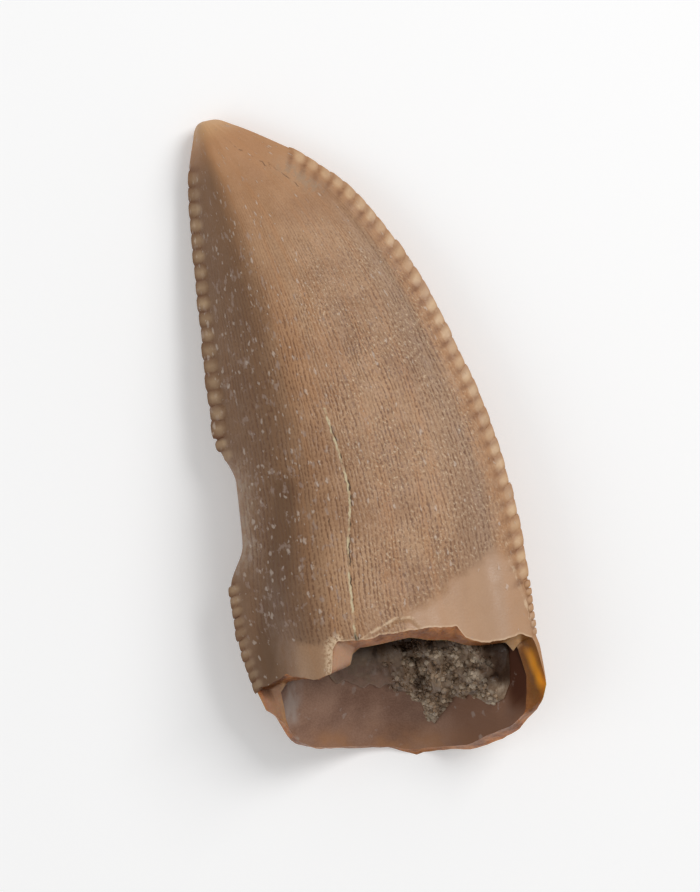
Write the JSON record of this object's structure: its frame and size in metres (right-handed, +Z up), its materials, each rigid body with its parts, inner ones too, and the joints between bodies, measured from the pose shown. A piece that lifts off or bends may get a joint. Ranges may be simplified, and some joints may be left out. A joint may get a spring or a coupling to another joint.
{
  "type": "fossil theropod tooth",
  "caption": "Curved, flattened fossil tooth crown with finely serrated cutting edges, a broken base and crystals lining its open pulp cavity.",
  "frame": {"origin": "on the surface the tooth lies on, below the middle of its bounding box", "axes": "+Y from the broken base towards the tip, +X towards the mesial (outer, convex) cutting edge, +Z up from the surface through both cheeks"},
  "size_m": [0.0126, 0.0228, 0.0057],
  "materials": {
    "enamel": "smooth, satin, tan brown with fine lengthwise lines",
    "calcite": "rough, sparkling, grey beige"
  },
  "bodies": {
    "root": {"tooth_crown": "enamel", "crystal_crust": "calcite"}
  },
  "joints": []
}
